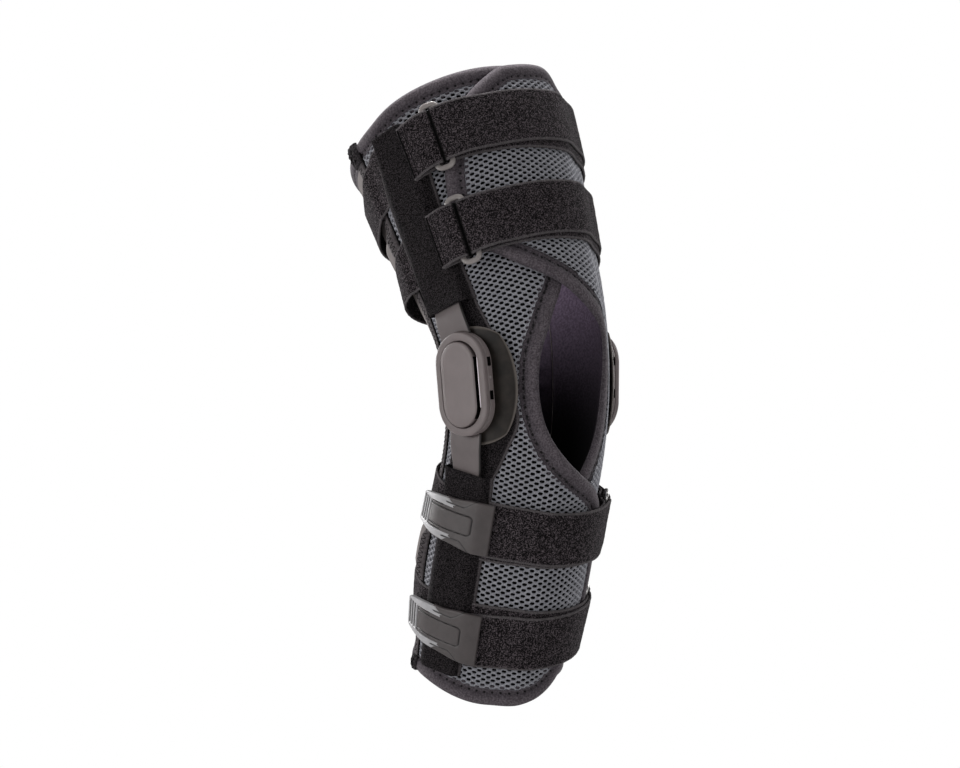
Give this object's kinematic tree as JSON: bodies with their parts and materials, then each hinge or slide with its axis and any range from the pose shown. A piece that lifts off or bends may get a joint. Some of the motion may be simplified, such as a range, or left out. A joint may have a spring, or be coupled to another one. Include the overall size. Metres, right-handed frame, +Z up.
{
  "type": "knee ligament brace",
  "caption": "Wrap-round knee brace: open spacer-mesh sleeve with a knee-cap hole, side hinges with arms in loop pockets, ring straps on the thigh and buckled straps on the calf",
  "frame": {"origin": "knee centre on the leg line, midway between the two hinges", "axes": "+Z up the leg; the knee cap faces -Y; the outer hinge is on -X and the inner hinge on +X"},
  "size_m": [0.1633, 0.2123, 0.431],
  "materials": {
    "spacer_mesh": "open knitted spacer mesh, dark grey",
    "smooth_neoprene": "smooth laminated foam, grey-brown",
    "edge_tape": "soft folded edge tape, charcoal",
    "loop_pile": "brushed loop pile, black",
    "shield_plastic": "satin olive-brown plastic",
    "hinge_plastic": "satin warm grey plastic",
    "cap_plastic": "satin warm grey plastic, bare",
    "arm_metal": "satin dark warm grey coating",
    "thigh_ring": "smooth taupe grey plastic",
    "calf_ring": "plain steel",
    "buckle_plastic": "fine-grained dark grey plastic",
    "clip_plastic": "fine-grained mid grey plastic"
  },
  "bodies": {
    "root": {"lateral_base": "loop_pile", "lateral_bottom_binding": "edge_tape", "lateral_calf_pocket": "loop_pile", "lateral_edge_binding": "edge_tape", "lateral_hinge_cap": "cap_plastic", "lateral_hinge_ring": "hinge_plastic", "lateral_housing": "hinge_plastic", "lateral_lower_arm": "arm_metal", "lateral_panel": "spacer_mesh", "lateral_seam": "edge_tape", "lateral_seam_end_bottom": "edge_tape", "lateral_seam_end_top": "edge_tape", "lateral_shield": "shield_plastic", "lateral_thigh_pocket": "loop_pile", "lateral_top_binding": "edge_tape", "lateral_upper_arm": "arm_metal", "lower_calf_buckle": "buckle_plastic", "lower_calf_clip": "clip_plastic", "lower_calf_rear_strap": "loop_pile", "lower_calf_ring": "calf_ring", "lower_calf_strap": "loop_pile", "lower_calf_tab": "loop_pile", "lower_thigh_rear_strap": "loop_pile", "lower_thigh_ring": "thigh_ring", "lower_thigh_strap": "loop_pile", "lower_thigh_tab": "loop_pile", "medial_base": "loop_pile", "medial_bottom_binding": "edge_tape", "medial_calf_pocket": "loop_pile", "medial_edge_binding": "edge_tape", "medial_hinge_cap": "cap_plastic", "medial_hinge_ring": "hinge_plastic", "medial_housing": "hinge_plastic", "medial_lower_arm": "arm_metal", "medial_panel": "spacer_mesh", "medial_seam": "edge_tape", "medial_shield": "shield_plastic", "medial_thigh_pocket": "loop_pile", "medial_top_binding": "edge_tape", "medial_upper_arm": "arm_metal", "rear_bottom_binding": "edge_tape", "rear_panel": "smooth_neoprene", "rear_top_binding": "edge_tape", "upper_calf_buckle": "buckle_plastic", "upper_calf_clip": "clip_plastic", "upper_calf_rear_strap": "loop_pile", "upper_calf_ring": "calf_ring", "upper_calf_strap": "loop_pile", "upper_calf_tab": "loop_pile", "upper_thigh_rear_strap": "loop_pile", "upper_thigh_ring": "thigh_ring", "upper_thigh_strap": "loop_pile", "upper_thigh_tab": "loop_pile"}
  },
  "joints": []
}
